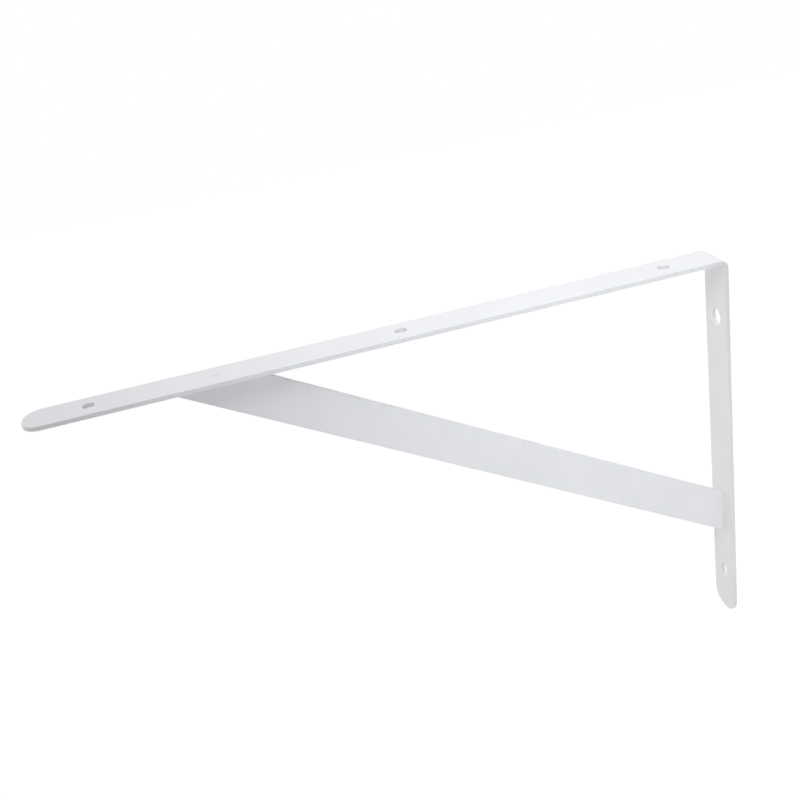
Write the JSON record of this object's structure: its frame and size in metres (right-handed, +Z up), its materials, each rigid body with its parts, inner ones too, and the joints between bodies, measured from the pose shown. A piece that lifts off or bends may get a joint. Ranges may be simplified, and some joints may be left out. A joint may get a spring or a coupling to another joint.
{
  "type": "shelf bracket",
  "caption": "Right-angle shelf bracket bent from flat bar, with rounded ends, screw holes in both arms and a diagonal flat brace on edge between them.",
  "frame": {"origin": "centre of the upper wall hole, on the face that lies against the wall", "axes": "+X out from the wall along the shelf arm, +Y across the bar, +Z up"},
  "size_m": [0.5, 0.03, 0.315],
  "materials": {
    "white_coat": "white satin powder coat on steel"
  },
  "bodies": {
    "root": {"angle_bar": "white_coat", "brace": "white_coat"}
  },
  "joints": []
}
